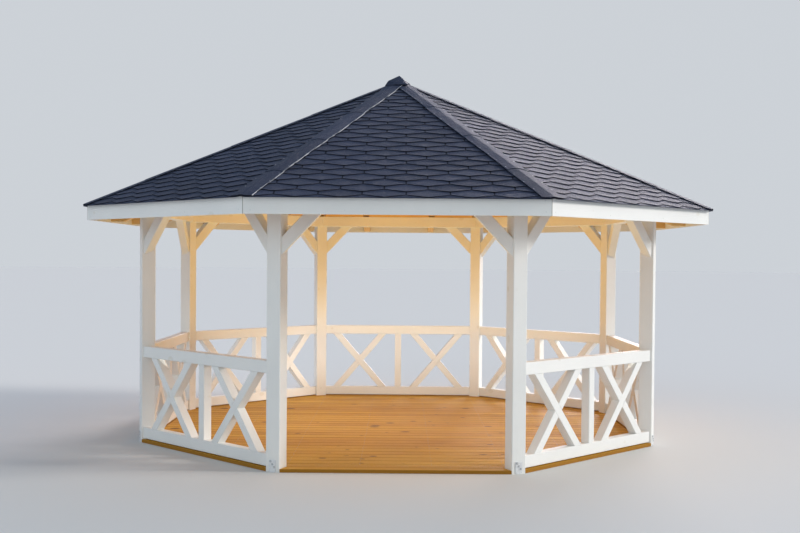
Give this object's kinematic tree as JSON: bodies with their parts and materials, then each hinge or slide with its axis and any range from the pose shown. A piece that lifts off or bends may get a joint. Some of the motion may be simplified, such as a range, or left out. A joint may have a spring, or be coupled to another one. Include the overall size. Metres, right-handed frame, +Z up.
{
  "type": "garden gazebo",
  "caption": "Open octagonal timber garden gazebo: square posts, cross-braced railings, one open entrance bay and a shingled pyramid roof.",
  "frame": {"origin": "plan centre of the octagon at ground level", "axes": "+Z up; the open entrance bay faces -Y; +X to the right seen from the entrance"},
  "size_m": [5.576, 5.576, 3.466],
  "materials": {
    "white_timber": "painted, satin",
    "ceiling_timber": "clear finish, matt",
    "deck_timber": "oiled, matt",
    "bitumen_shingle": "mineral granules, matt",
    "zinc_plate": "galvanised, satin"
  },
  "bodies": {
    "root": {"post_front_left": "white_timber", "post_front_right": "white_timber", "post_right_front": "white_timber", "post_right_back": "white_timber", "post_back_right": "white_timber", "post_back_left": "white_timber", "post_left_back": "white_timber", "post_left_front": "white_timber", "ring_beam_front": "white_timber", "ring_beam_front_right": "white_timber", "ring_beam_right": "white_timber", "ring_beam_back_right": "white_timber", "ring_beam_back": "white_timber", "ring_beam_back_left": "white_timber", "ring_beam_left": "white_timber", "ring_beam_front_left": "white_timber", "knee_braces": "white_timber", "railing_front_right": "white_timber", "railing_right": "white_timber", "railing_back_right": "white_timber", "railing_back": "white_timber", "railing_back_left": "white_timber", "railing_left": "white_timber", "railing_front_left": "white_timber", "shingles_front": "bitumen_shingle", "shingles_front_right": "bitumen_shingle", "shingles_right": "bitumen_shingle", "shingles_back_right": "bitumen_shingle", "shingles_back": "bitumen_shingle", "shingles_back_left": "bitumen_shingle", "shingles_left": "bitumen_shingle", "shingles_front_left": "bitumen_shingle", "roof_boarding": "ceiling_timber", "fascia_boards": "white_timber", "hip_rafters": "ceiling_timber", "jack_rafters": "ceiling_timber", "eaves_boards": "ceiling_timber", "king_block": "ceiling_timber", "hip_caps": "bitumen_shingle", "apex_cap": "bitumen_shingle", "deck": "deck_timber", "foot_plates": "zinc_plate"}
  },
  "joints": []
}
